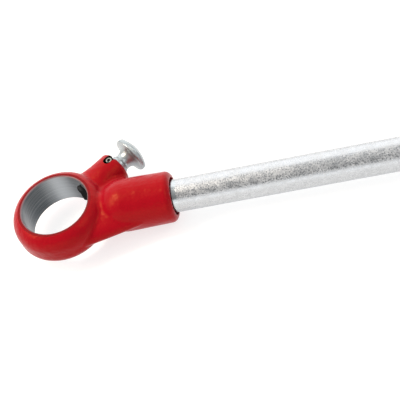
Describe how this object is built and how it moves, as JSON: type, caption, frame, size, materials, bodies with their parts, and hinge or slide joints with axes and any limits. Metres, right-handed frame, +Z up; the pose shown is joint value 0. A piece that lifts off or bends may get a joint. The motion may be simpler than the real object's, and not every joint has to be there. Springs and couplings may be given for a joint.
{
  "type": "ratchet pipe threader handle",
  "caption": "Hand pipe threader ratchet handle: a painted cast head with a round bore for a die head, a spring pawl with a pull knob, and a galvanised pipe handle.",
  "frame": {"origin": "centre of the ring's bore, halfway between the ring's two rims", "axes": "+Z up along the axis of the ring's bore, +X along the handle towards its free end"},
  "size_m": [0.4989, 0.1036, 0.043],
  "materials": {
    "red_paint": "gloss",
    "galvanised": "satin",
    "dark_steel": "satin",
    "spring_steel": "satin",
    "plating": "gloss"
  },
  "bodies": {
    "handle": {"ratchet_head": "red_paint", "handle_pipe": "galvanised", "pawl_spring": "spring_steel"},
    "plunger": {"pawl": "dark_steel", "knob": "plating", "knob_pin": "spring_steel"}
  },
  "joints": [
    {"name": "knob_pull", "type": "slide", "parent": "handle", "child": "plunger", "axis": [0.7466, 0.6652, 0], "range_m": [0, 0.009], "stiffness_N_per_m": 1500, "springref_m": -0.008, "deforming": ["pawl_spring"]}
  ]
}
